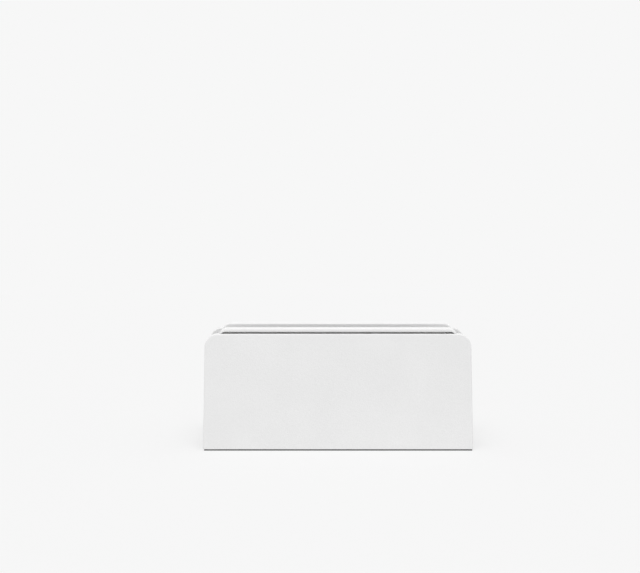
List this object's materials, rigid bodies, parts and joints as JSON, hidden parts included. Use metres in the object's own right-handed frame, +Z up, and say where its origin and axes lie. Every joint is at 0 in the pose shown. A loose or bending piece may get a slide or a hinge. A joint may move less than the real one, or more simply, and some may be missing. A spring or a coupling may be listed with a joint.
{
  "type": "vertical laptop stand",
  "caption": "Desk stand with an M-shaped section that holds a closed laptop upright in a lined slot, on leaning legs with soft foot strips.",
  "frame": {"origin": "on the desk, under the middle of the stand's footprint", "axes": "+X along the stand's width, to the right of someone facing it, -Y towards them, +Z up"},
  "size_m": [0.177, 0.067, 0.0782],
  "materials": {
    "white_powder_coat": "matte white powder coat on an aluminium profile",
    "white_silicone": "moulded matte white silicone",
    "grey_silicone": "moulded matte dark grey silicone"
  },
  "bodies": {
    "root": {"stand_body": "white_powder_coat", "slot_liner": "white_silicone", "front_foot_strip": "grey_silicone", "rear_foot_strip": "grey_silicone"}
  },
  "joints": []
}
